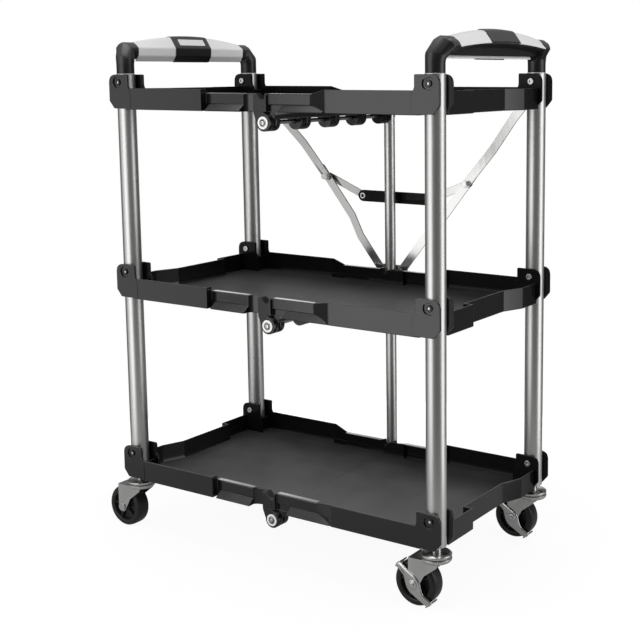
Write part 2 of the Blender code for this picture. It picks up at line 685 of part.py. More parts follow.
def fork_mesh():
    axle = (-CASTER_TRAIL, WHEEL_R)
    rear = -CASTER_TRAIL - FORK_BOSS_R
    arm = [(rear, FORK_TOP), (rear, WHEEL_R)]
    arm += arc(axle, FORK_BOSS_R, 180, 330, 8)[1:]
    arm += [(x, FORK_TOP - drop) for x, drop in (FORK_KNEE, FORK_SHOULDER)]
    arm += [(FORK_NOSE, FORK_TOP)]
    arms = [prism("arm", arm, -FORK_OUT, -FORK_IN, "y"), prism("arm", arm, FORK_IN, FORK_OUT, "y")]
    crown = box("crown", (rear, -FORK_OUT, FORK_TOP - FORK_THICK), (FORK_NOSE, FORK_OUT, FORK_TOP))
    split = SWIVEL_SPLIT - SPLIT
    inner = SWIVEL_R - SWIVEL_EDGE
    profile = [(inner, FORK_TOP - FORK_THICK + 0.2 * SINK), (SWIVEL_R, FORK_TOP)]
    profile += [(SWIVEL_R, split - SWIVEL_EDGE / 2), (inner, split)]
    disc = turned("disc", profile, 20)
    fork = joined(crown, arms + [disc])
    return cut(fork, [hole_y(-CASTER_TRAIL, WHEEL_R, AXLE_R + RUNNING, -2 * FORK_OUT, 2 * FORK_OUT)])


def head_mesh():
    low = SWIVEL_SPLIT + SPLIT
    post_end = FIRST_PIVOT_Z - POST_BELOW_PIVOT
    plug_r = POST_R - POST_WALL - GAP
    edge = SWIVEL_EDGE
    profile = [(SWIVEL_R - edge, low), (SWIVEL_R, low + edge * 0.75)]
    profile += [(SWIVEL_R, SWIVEL_TOP - edge), (SWIVEL_R - edge * 1.5, SWIVEL_TOP)]
    profile += [(STEM_R, SWIVEL_TOP), (STEM_R, post_end - GAP)]
    profile += [(plug_r, post_end - GAP), (plug_r, post_end + PLUG_LONG)]
    return turned("swivel_head", profile, 20)


def axle_mesh():
    end = FORK_OUT + GAP
    profile = [(AXLE_HEAD_R, -end - AXLE_HEAD), (AXLE_HEAD_R, -end), (AXLE_R, -end)]
    profile += [(AXLE_R, end), (AXLE_HEAD_R, end), (AXLE_HEAD_R, end + AXLE_HEAD)]
    return turned("axle", profile, 12, "y")


def pedal_mesh():
    """A stamped rocker round the axle, with a foot tab over the tread at each end."""
    front = -FORK_OUT - GAP - PEDAL_THICK
    ring = WHEEL_R + PEDAL_CLEAR
    outer = ring + PEDAL_THICK
    outline = []
    tabs = []
    for (start, end), waist in zip(PEDAL_TABS, ((200, 262), (20, 82))):
        tip = arc((0, 0), outer, start, end, 2)
        outline += tip + arc((0, 0), PEDAL_WAIST, *waist, 3)
        tab = tip + arc((0, 0), ring, end, start, 2)
        tabs.append(prism("tab", tab, front + 0.4 * SINK, front + PEDAL_TAB, "y"))
    pedal = joined(prism("pedal", outline, front, front + PEDAL_THICK, "y"), tabs)
    bore = AXLE_HEAD_R + RUNNING
    return cut(pedal, [hole_y(0, 0, bore, front - PAST, front + PAST)])


def build_casters():
    fork, wheel, axle, head, pedal = fork_mesh(), wheel_mesh(), axle_mesh(), head_mesh(), pedal_mesh()
    for side, x in (("left", -HALF_X), ("right", HALF_X)):
        for end, y in (("front", -HALF_Y), ("back", HALF_Y)):
            spot = f"{end}_{side}"
            hub = (x - CASTER_TRAIL, y, WHEEL_R)
            place(f"caster_head_{spot}", head, ZINC, (x, y, 0))
            place(f"caster_fork_{spot}", fork, ZINC, (x, y, 0))
            place(f"caster_wheel_{spot}", wheel, TYRE, hub)
            place(f"caster_axle_{spot}", axle, ZINC, hub)
            if side == "right":
                place(f"brake_pedal_{spot}", pedal, ZINC, hub)


build_posts()
build_shelves()
build_bolts()
build_rods()
build_braces()
build_handles()
build_casters()
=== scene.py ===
"""Looks of a folding three-shelf service cart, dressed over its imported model."""

import math

import bmesh
import bpy
import numpy as np
from mathutils import Matrix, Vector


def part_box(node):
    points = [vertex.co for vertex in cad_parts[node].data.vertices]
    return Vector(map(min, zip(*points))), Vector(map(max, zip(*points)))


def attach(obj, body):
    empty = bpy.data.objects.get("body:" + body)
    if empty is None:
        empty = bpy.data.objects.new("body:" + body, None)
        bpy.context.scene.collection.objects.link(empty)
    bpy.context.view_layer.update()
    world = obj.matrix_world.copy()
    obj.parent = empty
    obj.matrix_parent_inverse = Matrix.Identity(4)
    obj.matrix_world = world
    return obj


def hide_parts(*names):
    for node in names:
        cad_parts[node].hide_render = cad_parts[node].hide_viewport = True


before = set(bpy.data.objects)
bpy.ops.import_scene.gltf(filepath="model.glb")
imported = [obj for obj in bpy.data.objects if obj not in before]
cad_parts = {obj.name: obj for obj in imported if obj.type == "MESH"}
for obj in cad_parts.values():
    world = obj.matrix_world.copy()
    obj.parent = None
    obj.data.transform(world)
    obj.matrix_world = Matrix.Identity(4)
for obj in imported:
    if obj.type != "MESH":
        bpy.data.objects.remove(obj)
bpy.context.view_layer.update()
MM = 0.001
SIDES = ("left", "right")
ENDS = ("front", "back")
LEVELS = ("bottom", "middle", "top")


# Tube posts
# Four drawn steel tubes with a satin silver finish, cut square, with an open top that the handle plugs into.
# A thinner tube of the same finish stands behind the shelves and carries the hinge rods and the braces.

POST_WALL = 1.7 * MM
POST_EDGE = 0.4 * MM


class Wire:
    """One shader socket, so that shader maths reads as Python: each operator adds a Math node."""

    def __init__(self, shading, socket):
        self.shading = shading
        self.socket = socket

    def maths(self, operation, first, second=0.0):
        return self.shading.node("ShaderNodeMath", {"operation": operation}, {0: first, 1: second})

    def __add__(self, other):
        return self.maths("ADD", self, other)

    def __sub__(self, other):
        return self.maths("SUBTRACT", self, other)

    def __rsub__(self, other):
        return self.maths("SUBTRACT", other, self)

    def __mul__(self, other):
        return self.maths("MULTIPLY", self, other)

    def __truediv__(self, other):
        return self.maths("DIVIDE", self, other)

    def clamped(self):
        return self.maths("MINIMUM", self.maths("MAXIMUM", self, 0.0), 1.0)

    __radd__ = __add__
    __rmul__ = __mul__


class Shading:
    """A node tree. node() adds a node, with its settings first and then its sockets' values or links."""

    def __init__(self, tree):
        self.tree = tree

    def wire(self, node, values):
        for key, value in values.items():
            if isinstance(value, Wire):
                self.tree.links.new(value.socket, node.inputs[key])
            else:
                node.inputs[key].default_value = value

    def node(self, kind, settings=None, values=None, output=0):
        made = self.tree.nodes.new(kind)
        for key, value in (settings or {}).items():
            setattr(made, key, value)
        self.wire(made, values or {})
        return Wire(self, made.outputs[output])

    def along(self, vector, way):
        """How far a vector goes in one direction: their dot product."""
        return self.node("ShaderNodeVectorMath", {"operation": "DOT_PRODUCT"}, {0: vector, 1: way}, output=1)


class Finish(Shading):
    """A material round one Principled shader."""

    def __init__(self, name, **sockets):
        self.material = bpy.data.materials.new(name)
        self.material.use_nodes = True
        super().__init__(self.material.node_tree)
        self.shader = self.tree.nodes["Principled BSDF"]
        self.set(**sockets)

    def set(self, **sockets):
        self.wire(self.shader, {key.replace("_", " "): value for key, value in sockets.items()})

    def noise(self, scale, detail=3.0, stretch=(1, 1, 1)):
        """A noise in the object's metres, stretched by a scale on each axis."""
        spot = self.node("ShaderNodeTexCoord", output=3)
        spot = self.node("ShaderNodeMapping", None, {"Vector": spot, "Scale": stretch})
        return self.node("ShaderNodeTexNoise", None, {"Vector": spot, "Scale": scale, "Detail": detail})

    def mixed(self, share, low, high):
        """A colour between two others."""
        return self.node("ShaderNodeMix", {"data_type": "RGBA"}, {0: share, 6: low, 7: high}, output=2)

    def upwards(self):
        """1 where the surface faces up, falling to 0 where it stands upright or faces down."""
        return self.along(self.node("ShaderNodeTexCoord", output=1), (0, 0, 1)).clamped()

    def bumped(self, height, strength, distance):
        """Raises the surface by a height from 0 to 1 times a distance in metres."""
        self.set(Normal=self.node("ShaderNodeBump", None,
                                  {"Height": height, "Strength": strength, "Distance": distance}))
        return self.material


def solid(name, points, faces, sharp=35):
    """Makes a closed mesh, with doubles merged, faces outwards and soft shading up to an angle in degrees."""
    mesh = bpy.data.meshes.new(name)
    mesh.from_pydata(np.asarray(points).tolist(), [], faces)
    shape = bmesh.new()
    shape.from_mesh(mesh)
    bmesh.ops.remove_doubles(shape, verts=shape.verts, dist=1e-6)
    bmesh.ops.recalc_face_normals(shape, faces=shape.faces)
    shape.to_mesh(mesh)
    shape.free()
    mesh.shade_smooth()
    mesh.set_sharp_from_angle(angle=math.radians(sharp))
    piece = bpy.data.objects.new(name, mesh)
    bpy.context.scene.collection.objects.link(piece)
    return piece


def grid_quads(rows, columns, around, along):
    """A grid's quads. around joins its last column to the first one, and along does so for its rows."""
    index = np.arange(rows * columns).reshape(rows, columns)
    if around:
        index = np.hstack([index, index[:, :1]])
    if along:
        index = np.vstack([index, index[:1]])
    return np.stack([index[:-1, :-1], index[:-1, 1:], index[1:, 1:], index[1:, :-1]], axis=-1).reshape(-1, 4)


def surface(name, points, along=False, caps=True, sharp=35):
    """A solid whose skin is a grid of points, rows by columns, closed around. caps closes its end rows."""
    rows, columns = points.shape[:2]
    faces = grid_quads(rows, columns, True, along).tolist()
    if caps and not along:
        first = np.arange(columns)
        faces += [first[::-1].tolist(), (first + (rows - 1) * columns).tolist()]
    return solid(name, points.reshape(-1, 3), faces, sharp)


def turned(profile, centre, axis="z", steps=48):
    """A profile of (radius, height) turned about an axis through the centre: each row is one ring."""
    radius, height = np.asarray(profile, float).T
    angle = np.linspace(0, math.tau, steps, endpoint=False)
    across = radius[:, None] * np.cos(angle)
    up = radius[:, None] * np.sin(angle)
    level = np.repeat(height[:, None], steps, axis=1)
    order = (across, up, level) if axis == "z" else (across, level, up)
    return np.stack(order, axis=-1) + np.asarray(centre)


def eased(corners, radius, closed=True, steps=4):
    """Rounds a line's corners: each becomes a quadratic curve that starts and ends a radius away from it.
    The two points close to each end of the curve keep the flat faces beside it flat when shaded."""
    corners = np.asarray(corners, float)
    radius = np.array(np.broadcast_to(radius, len(corners)), float)
    before = np.roll(corners, 1, axis=0) - corners
    after = np.roll(corners, -1, axis=0) - corners
    if not closed:
        radius[[0, -1]] = 0
    far_before = np.linalg.norm(before, axis=1)
    far_after = np.linalg.norm(after, axis=1)
    start = corners + before * (np.minimum(radius, 0.45 * far_before) / far_before)[:, None]
    end = corners + after * (np.minimum(radius, 0.45 * far_after) / far_after)[:, None]
    s = np.concatenate([[0], np.linspace(0.04, 0.96, steps), [1]])[None, :, None]
    curve = (1 - s) ** 2 * start[:, None] + 2 * s * (1 - s) * corners[:, None] + s**2 * end[:, None]
    return curve.reshape(-1, corners.shape[1])


def fit(piece, body, finish, slot, *nodes):
    """Gives a piece its material, puts it on the body that carries it and hides the CAD nodes it stands for.
    """
    piece.data.materials.append(finish)
    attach(piece, body)
    if nodes:
        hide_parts(*nodes)


def middle(node):
    low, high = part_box(node)
    return (np.array(low) + np.array(high)) / 2


silver = Finish("satin_silver", Metallic=1.0, Base_Color=(0.58, 0.58, 0.57, 1))
drawn = silver.noise(60, 4, (1, 1, 0.01))
silver.set(Roughness=drawn * 0.08 + 0.33)
SILVER = silver.bumped(drawn, 0.04, 0.0002)


def tube_points(node, wall, edge, steps):
    """Outside, rims and bore of a tube that stands where a CAD post does, with its rims eased."""
    low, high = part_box(node)
    x, y, _ = middle(node)
    radius = (high[0] - low[0]) / 2
    corners = [(radius, low[2]), (radius, high[2]), (radius - wall, high[2]), (radius - wall, low[2])]
    return turned(eased(corners, edge), (x, y, 0), steps=steps)


for side in SIDES:
    for end in ENDS:
        node = f"post_{end}_{side}"
        tube = surface(f"tube_{end}_{side}", tube_points(node, POST_WALL, POST_EDGE, 64), along=True)
        fit(tube, f"{side}_frame", SILVER, "post_steel", node)
tube = surface("tube_centre", tube_points("post_centre", POST_WALL, POST_EDGE, 48), along=True)
fit(tube, "centre_post", SILVER, "post_steel", "post_centre")

CENTRE = (middle("post_front_left") + middle("post_back_right")) / 2
HALF_X = middle("post_front_right")[0] - CENTRE[0]


# Half shelves
# Six mouldings of black polypropylene, all from one tool: the right ones are the left ones turned half round.
# Each has a grained floor, glossy walls with a stepped and a ramped recess, post ears and hinge eyes.

WALL = 3 * MM
SIDE_V = 182.6 * MM
RECESS_V = 170 * MM
LUG_V = 174.7 * MM
NOTCH_V = 146.2 * MM
NOTCH_U = 17 * MM
STEP_U = 192.5 * MM
RAMP_U = (187.5 * MM, 226 * MM)
END_U = (-12.5 * MM, 2.5 * MM)
END_V = (-95 * MM, -55 * MM, 70 * MM)
HINGE_U = HALF_X - 0.15 * MM
LUG_LONG = 20 * MM
LUG_STEPS = 14
POCKET_LONG = 24 * MM
POCKET_DEEP = 8 * MM
BOTTOM = -46.5 * MM
FLOOR = -43.5 * MM
SIDE_TOP = -10 * MM
END_TOP = -11 * MM
LIP_TOP = -17 * MM
SEAM_TOP = -27 * MM
LEDGE = -34 * MM
UNDERCUT = 2.5 * MM
PLAN_ROUND = 1.2 * MM


def pivot(side, level):
    """The post's cross hole that a half shelf turns on, on the cart's middle plane."""
    bolt = middle(f"bolt_front_{side}_{level}")
    return np.array([bolt[0], CENTRE[1], bolt[2]])


def seated(points, side, level):
    """Half shelf measures (towards the hinge, across, up from the pivot) as places in the frame."""
    turn = 1 if side == "left" else -1
    return pivot(side, level) + np.asarray(points) * (turn, turn, 1)


def offset(corners, distance):
    """Moves an open line sideways, to its right, keeping every corner mitred."""
    way = np.diff(corners, axis=0)
    way /= np.linalg.norm(way, axis=1, keepdims=True)
    before = np.vstack([way[:1], way])
    after = np.vstack([way, way[-1:]])
    normal = np.stack([before[:, 1] + after[:, 1], -before[:, 0] - after[:, 0]], axis=1)
    return corners + normal * distance / (1 + (before * after).sum(axis=1, keepdims=True))


def lug_and_pocket():
    """From the seam over the lug column into the hollow beside it, a quarter ellipse down to the recess."""
    sweep = np.linspace(0, 1, LUG_STEPS)
    u = HINGE_U - LUG_LONG + LUG_LONG * (1 - sweep)
    top = SEAM_TOP + (LIP_TOP - SEAM_TOP) * (0.5 - 0.5 * np.cos(math.pi * np.clip(sweep * 1.15, 0, 1)))
    rows = [(a, -LUG_V, b, b, 0) for a, b in zip(u, top)]
    angle = np.linspace(0, math.pi / 2, 7)
    u = HINGE_U - LUG_LONG - 1 * MM - (POCKET_LONG - 1 * MM) * np.sin(angle)
    v = -RECESS_V + POCKET_DEEP * np.cos(angle)
    return rows + [(a, b, LIP_TOP, LIP_TOP, 0) for a, b in zip(u, v)]


# The wall's plan from the hinge's front round the end to its back: u, v, top before and after, recessed
WALL_PLAN = np.array([
    *lug_and_pocket(),
    (STEP_U, -RECESS_V, LIP_TOP, SIDE_TOP, 1),
    (STEP_U, -SIDE_V, SIDE_TOP, SIDE_TOP, 0),
    (NOTCH_U, -SIDE_V, SIDE_TOP, LIP_TOP, 0),
    (NOTCH_U, -NOTCH_V, LIP_TOP, END_TOP, 0),
    (END_U[0], -NOTCH_V, END_TOP, END_TOP, 0),
    (END_U[0], END_V[0], END_TOP, END_TOP, 0),
    (END_U[1], END_V[1], END_TOP, END_TOP, 0),
    (END_U[1], END_V[2], END_TOP, END_TOP, 0),
    (END_U[0], END_V[2], END_TOP, END_TOP, 0),
    (END_U[0], NOTCH_V, END_TOP, END_TOP, 0),
    (NOTCH_U, NOTCH_V, END_TOP, LIP_TOP, 0),
    (NOTCH_U, SIDE_V, LIP_TOP, SIDE_TOP, 0),
    (RAMP_U[0], SIDE_V, SIDE_TOP, SIDE_TOP, 0),
    (RAMP_U[1], RECESS_V, LIP_TOP, LIP_TOP, 1),
    (HINGE_U - 7.5 * MM, RECESS_V, LIP_TOP, LIP_TOP, 1),
    (HINGE_U - 6.5 * MM, LUG_V, LIP_TOP, LIP_TOP, 0),
    (HINGE_U - 5 * MM, LUG_V, LIP_TOP, LIP_TOP, 0),
    (HINGE_U - 1 * MM, LUG_V, SEAM_TOP, SEAM_TOP, 0),
    (HINGE_U, LUG_V, SEAM_TOP, SEAM_TOP, 0),
])


def wall_points():
    """The wall as one strip: a row for each point of the plan, a column for each station up, over and down.
    The outer stations follow the plan. The inner ones pass the lugs and the pocket in straight lines."""
    outer = WALL_PLAN[:, :2]
    inner = outer.copy()
    near_hinge = outer[:, 0] > STEP_U + 1 * MM
    inner[near_hinge, 1] = np.sign(outer[near_hinge, 1]) * RECESS_V
    inner[:LUG_STEPS + 6, 1] += POCKET_DEEP
    top = np.repeat(WALL_PLAN[:, 2:4], 3, axis=1).ravel()
    cut = np.repeat(WALL_PLAN[:, 4], 6) * UNDERCUT
    lip = np.where(top < SIDE_TOP - 2 * MM, 1.8 * MM, 0.7 * MM)
    stations = [
        (outer, 1.0 * MM, top * 0 + BOTTOM),
        (outer, cut, top * 0 + BOTTOM + 1.0 * MM),
        (outer, cut, top * 0 + LEDGE - 1.5 * MM),
        (outer, cut * 0.6, top * 0 + LEDGE - 0.3 * MM),
        (outer, 0, top * 0 + LEDGE),
        (outer, 0, top - lip - 0.4 * MM),
        (outer, 0, top - lip),
        (outer, 0.25 * lip, top - 0.35 * lip),
        (outer, 0.9 * lip, top),
        (inner, WALL - 0.6 * MM, top),
        (inner, WALL - 0.1 * MM, top - 0.2 * MM),
        (inner, WALL, top - 0.8 * MM),
        (inner, WALL, top - 1.3 * MM),
        (inner, WALL, top * 0 + LEDGE),
        (inner, WALL + 0.4 * MM, top * 0 + FLOOR + 3 * MM),
        (inner, WALL + 1.4 * MM, top * 0 + FLOOR + 0.8 * MM),
        (inner, WALL + 3 * MM, top * 0 + FLOOR),
    ]
    columns = []
    for line, inwards, height in stations:
        inwards = np.broadcast_to(inwards, top.shape)
        far = eased(offset(line, inwards.max()), PLAN_ROUND, closed=False)
        near = eased(offset(line, inwards.min()), PLAN_ROUND, closed=False)
        share = (inwards - inwards.min()) / max(np.ptp(inwards), 1e-9)
        columns.append(np.column_stack([near + (far - near) * share[:, None], height]))
    return np.stack(columns, axis=1)


def tray(side, level):
    """The wall strip, closed by the floor's top and underside and by the butt face at the hinge."""
    grid = wall_points()
    rows, columns = grid.shape[:2]
    index = np.arange(rows * columns).reshape(rows, columns)
    faces = grid_quads(rows, columns, False, False).tolist()
    faces += [index[:, -1].tolist(), index[::-1, 0].tolist(), index[0].tolist() + index[-1, ::-1].tolist()]
    return solid(f"tray_{level}_{side}", seated(grid.reshape(-1, 3), side, level), faces)


# Grained dark grey floors and glossy black walls, both darkened towards the back by painted shade, away from
# the lamps
SHADE_FROM = 0.02
SHADE_LONG = 0.1
PLASTIC_IOR = 1.55
plastic = Finish("black_polypropylene", IOR=PLASTIC_IOR)
upwards = plastic.upwards()
cloud = plastic.noise(14, 3)
plastic.set(Roughness=cloud * 0.12 + upwards * 0.27 + 0.12)
WALL_BLACK = (0.005, 0.005, 0.0052, 1)
FLOOR_BLACK = (0.12, 0.12, 0.122, 1)
level_face = ((upwards - 0.6) / 0.4).clamped()
place = plastic.node("ShaderNodeTexCoord", output=3)
# Painted shade: 0 at the front, rising to 1 towards the back of the shelf
shade_to_back = ((plastic.along(place, (0, 1, 0)) - SHADE_FROM) / SHADE_LONG).clamped()
# The floors' grain, with painted shade darkening it towards the back
grain_and_shade = level_face * (cloud * 0.9 + 0.3) * (1 - shade_to_back * 0.55)
plastic.set(Base_Color=plastic.mixed(grain_and_shade, WALL_BLACK, FLOOR_BLACK))
PLASTIC = plastic.bumped(plastic.noise(900, 2), 0.12, 0.0001)

# The back's own shader is a duller copy, mixed in towards the back as painted shade, and shares the first
# one's colour, roughness and bumps
shaded_copy = plastic.node("ShaderNodeBsdfPrincipled", None, {"IOR": PLASTIC_IOR, "Specular IOR Level": 0.1})
for key in ("Base Color", "Roughness", "Normal"):
    shared = plastic.shader.inputs[key].links[0].from_socket
    plastic.tree.links.new(shared, shaded_copy.socket.node.inputs[key])
glossy = Wire(plastic, plastic.shader.outputs[0])
# Painted shade: the duller copy takes over towards the back
both = plastic.node("ShaderNodeMixShader", None, {0: shade_to_back, 1: glossy, 2: shaded_copy})
plastic.tree.links.new(both.socket, plastic.tree.nodes["Material Output"].inputs["Surface"])

# The ledges on top of the recesses: a painted reflection in their colour, black from above and pale at a
# slant, as if they mirrored the backdrop
rim = Finish("rim_painted_reflection")
slant = rim.node("ShaderNodeLayerWeight", None, {"Blend": 0.5}, output=1)
# Painted reflection: the colour turns pale where the ledge is seen at a slant
painted_reflection = ((slant - 0.45) / 0.35).clamped()
rim.set(Base_Color=rim.mixed(painted_reflection, (0.04, 0.04, 0.04, 1), (0.8, 0.8, 0.8, 1)))
rim.set(Roughness=rim.noise(200) * 0.1 + 0.15)
RIM = rim.material

for level in LEVELS:
    for side in SIDES:
        fit(tray(side, level), f"{level}_{side}_half", PLASTIC, "tray_plastic", f"shelf_{level}_{side}")

EAR_IN = 24 * MM
EAR_OUT = 20 * MM
EAR_UP = 13.5 * MM
EAR_DOWN = 45 * MM
EAR_V = {"outer": (178.8 * MM, 183.4 * MM), "inner": (142 * MM, 146.4 * MM)}
EAR_EDGE = 0.9 * MM
WELL_R = 10.2 * MM
WELL_DEEP = 2.4 * MM
BOLT_HOLE = 3.8 * MM


def ear_outline():
    """A small inboard corner, a round outboard shoulder and a chamfered foot, each of many points."""
    corners = [
        (EAR_IN + 6 * MM, -EAR_DOWN), (EAR_IN + 5 * MM, -14 * MM), (EAR_IN, -7 * MM), (EAR_IN, EAR_UP),
        (-EAR_OUT, EAR_UP), (-EAR_OUT, -EAR_DOWN + 13 * MM), (-EAR_OUT + 11 * MM, -EAR_DOWN),
    ]
    return eased(corners, np.array([1, 5, 5, 2.5, 15, 2, 2]) * MM, steps=9)


def dish(outline, stations):
    """Rings round a hole in a flat piece.
    A positive radius is a circle, and a negative one is the outline moved in."""
    reach = np.linalg.norm(outline, axis=1, keepdims=True)
    way = outline / reach
    rings = [np.column_stack([way * (radius if radius > 0 else reach + radius), np.full(len(way), depth)])
             for radius, depth in stations]
    return np.array(rings)


def ear_points(kind, sign):
    """One ear about its bolt. An outer ear has a round well for the bolt's head."""
    near, far = EAR_V[kind]
    deep = WELL_DEEP if kind == "outer" else 0.1 * MM
    well = WELL_R if kind == "outer" else BOLT_HOLE + 1 * MM
    stations = [
        (BOLT_HOLE, far - deep), (well - 0.3 * MM, far - deep), (well, far - deep * 0.9),
        (well, far - deep * 0.2), (well + 0.5 * MM, far), (well + 1 * MM, far),
        (-1.5 * EAR_EDGE, far), (-EAR_EDGE, far),
        (-EAR_EDGE / 4, far - EAR_EDGE / 4), (-1e-6, far - EAR_EDGE), (-1e-6, far - 1.4 * EAR_EDGE),
        (-1e-6, near + EAR_EDGE), (-EAR_EDGE, near), (BOLT_HOLE, near),
    ]
    rings = dish(ear_outline(), stations)
    return np.stack([rings[..., 0], rings[..., 2] * sign, rings[..., 1]], axis=-1)


for level in LEVELS:
    for side in SIDES:
        for kind in EAR_V:
            for sign, end in ((-1, "near"), (1, "far")):
                points = seated(ear_points(kind, sign), side, level)
                ear = surface(f"ear_{kind}_{end}_{level}_{side}", points, along=True)
                fit(ear, f"{level}_{side}_half", PLASTIC, "tray_plastic")

EYE_R = 14 * MM
EYE_WIDE = 12 * MM
EYE_PITCH = 80.5 * MM
PAIR_GAP = 3 * MM
PIN_DROP = 63.75 * MM


def eye_points(index):
    """A hinge eye about its rod, with the web that hangs it from the tray. The first web is a lug wide."""
    low = EYE_PITCH * (index - 2) - PAIR_GAP / 2 - EYE_WIDE
    high = low + EYE_WIDE
    top = BOTTOM + 1 * MM + PIN_DROP
    left = -LUG_LONG if index == 0 else -EYE_R
    angle = np.radians(np.linspace(180, 435, 35))
    around = np.column_stack([np.cos(angle), np.sin(angle)]) * EYE_R
    butt = -0.15 * MM
    web = [(butt, PIN_DROP + BOTTOM), (butt, top), (left, top), (left, PIN_DROP + BOTTOM - 2 * MM)]
    edge = 1 * MM
    stations = [
        (4.3 * MM, low), (-1.5 * edge, low), (-edge, low), (-edge / 4, low + edge / 4), (-1e-6, low + edge),
        (-1e-6, high - edge), (-edge / 4, high - edge / 4), (-edge, high), (4.3 * MM, high),
    ]
    rings = dish(np.vstack([around, web]), stations)
    return np.stack([rings[..., 0] + HALF_X, rings[..., 2], rings[..., 1] - PIN_DROP], axis=-1)


for level in LEVELS:
    for side in SIDES:
        for index in range(5):
            eye = surface(f"eye_{index}_{level}_{side}", seated(eye_points(index), side, level), along=True)
            fit(eye, f"{level}_{side}_half", PLASTIC, "tray_plastic")


def strip(name, side, level, section, start, end, along_u, finish=PLASTIC):
    """A straight rib or band: an eased cross-section carried from start to end, along the shelf or across."""
    section = np.asarray(section)
    edge = 0.5 * MM
    core = section.mean(axis=0)
    rows = []
    for place, shrink in ((start, edge), (start + edge, 0), (end - edge, 0), (end, edge)):
        away = section - core
        ring = core + away * (1 - shrink / np.linalg.norm(away, axis=1, keepdims=True))
        fixed = np.full(len(ring), place)
        order = (fixed, ring[:, 0], ring[:, 1]) if along_u else (ring[:, 0], fixed, ring[:, 1])
        rows.append(np.column_stack(order))
    piece = surface(name, seated(np.array(rows), side, level))
    fit(piece, f"{level}_{side}_half", finish, "tray_plastic")


# Cross-sections: the slanted band below a recess, the ledge over it, and a rib under the floor
LEDGE_WIDE = 9 * MM
BAND = np.array([(RECESS_V - UNDERCUT - 1 * MM, LEDGE - 0.8 * MM), (RECESS_V + 0.3 * MM, LEDGE - 1.4 * MM),
                 (SIDE_V, BOTTOM + 1.6 * MM), (SIDE_V - 1.2 * MM, BOTTOM), (RECESS_V - 4 * MM, BOTTOM)])
LIP = np.array([(RECESS_V + 0.1 * MM, LIP_TOP - 1.3 * MM), (RECESS_V - 0.6 * MM, LIP_TOP + 0.15 * MM),
                (RECESS_V - LEDGE_WIDE, LIP_TOP + 0.15 * MM), (RECESS_V - LEDGE_WIDE, LIP_TOP - 1.3 * MM)])
RIB = np.array([(-19, 1), (-19, -9), (-16, -12), (-11, -12), (-9, -10), (-9, 1)]) * MM + (HALF_X, BOTTOM)
POCKET_EDGE = HINGE_U - LUG_LONG - POCKET_LONG
BAND_STEP = (STEP_U + 7 * MM, POCKET_EDGE)
BAND_RAMP = (RAMP_U[0] + 6 * MM, HINGE_U - 36 * MM)
LIP_STEP = (STEP_U + 1 * MM, POCKET_EDGE)
LIP_RAMP = (RAMP_U[1], HINGE_U - 8.5 * MM)
RIB_LONG = (-LUG_V + 3 * MM, RECESS_V - 2 * MM)

for level in LEVELS:
    for side in SIDES:
        band = eased(BAND, 0.5 * MM)
        strip(f"band_step_{level}_{side}", side, level, band * (-1, 1), *BAND_STEP, True)
        strip(f"band_ramp_{level}_{side}", side, level, band, *BAND_RAMP, True)
        lip = eased(LIP, 0.3 * MM)
        strip(f"lip_step_{level}_{side}", side, level, lip * (-1, 1), *LIP_STEP, True, RIM)
        strip(f"lip_ramp_{level}_{side}", side, level, lip, *LIP_RAMP, True, RIM)
        strip(f"rib_{level}_{side}", side, level, eased(RIB, 1 * MM), *RIB_LONG, False)


# Pivot bolts and hinge rods
# Socket head bolts with black heads in the front ears and zinc heads inside, and long zinc rods with white
# nylon bushes through the hinge eyes and the centre post.

zinc = Finish("bright_zinc", Metallic=1.0, Base_Color=(0.58, 0.58, 0.57, 1))
spangle = zinc.noise(220, 4)
zinc.set(Roughness=spangle * 0.16 + 0.16)
ZINC = zinc.bumped(spangle, 0.06, 0.0002)

dark = Finish("black_oxide", Metallic=0.5, Base_Color=(0.03, 0.03, 0.03, 1))
dark.set(Roughness=dark.noise(300) * 0.2 + 0.25)
DARK = dark.material

nylon = Finish("white_nylon", Base_Color=(0.8, 0.8, 0.78, 1))
nylon.set(Roughness=nylon.noise(400) * 0.15 + 0.35)
NYLON = nylon.material


def head_profile(radius, deep, socket):
    """A pan head over its seat: side, eased rim, face, and a round socket in the middle."""
    corners = [(radius, 0), (radius, deep), (socket, deep), (socket, deep * 0.3), (0, deep * 0.3)]
    return eased(corners, [0, 0.7 * MM, 0.2 * MM, 0.1 * MM, 0], closed=False)


def button(name, centre, profile, body, finish):
    """A turned head, ring or rivet whose face looks to the front."""
    points = turned(np.asarray(profile) * (1, -1), centre, "y", 36)
    fit(surface(name, points), body, finish, "zinc_steel")


SHAFT_R = 3.5 * MM
HEAD_R = 5.5 * MM
HEAD_DEEP = 2.3 * MM
SOCKET = 2.4 * MM
SOCKET_SEAT = 1.7 * MM
ROD_HEAD = (6.2 * MM, 2 * MM, 2.6 * MM)
BUSH_R = 10.2 * MM
BUSH_SEAT = 2.4 * MM


def bolt_points(node, radius, deep, socket):
    """The whole bolt in place of the CAD one: front head, shaft, and a back head."""
    low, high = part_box(node)
    x, _, z = middle(node)
    front = head_profile(radius, deep, socket)[::-1] * (1, -1) + (0, low[1] + deep)
    back = head_profile(HEAD_R, HEAD_DEEP, socket) + (0, high[1] - HEAD_DEEP)
    stem = [(SHAFT_R, low[1] + deep), (SHAFT_R, high[1] - HEAD_DEEP)]
    return turned(np.vstack([front, stem, back]), (x, 0, z), "y", 36)


for side in SIDES:
    for level in LEVELS:
        for end in ENDS:
            node = f"bolt_{end}_{side}_{level}"
            bolt = surface(f"{node}_turned", bolt_points(node, HEAD_R, HEAD_DEEP, SOCKET), caps=False)
            fit(bolt, f"{side}_frame", DARK if end == "front" else ZINC, "zinc_steel", node)
            if end == "front":
                x, _, z = middle(node)
                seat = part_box(node)[0][1] + SOCKET_SEAT
                core = [(2.3 * MM, 0), (2.3 * MM, 0.9 * MM), (1.6 * MM, 1.3 * MM), (0, 1.4 * MM)]
                button(f"{node}_core", (x, seat, z), core, f"{side}_frame", ZINC)

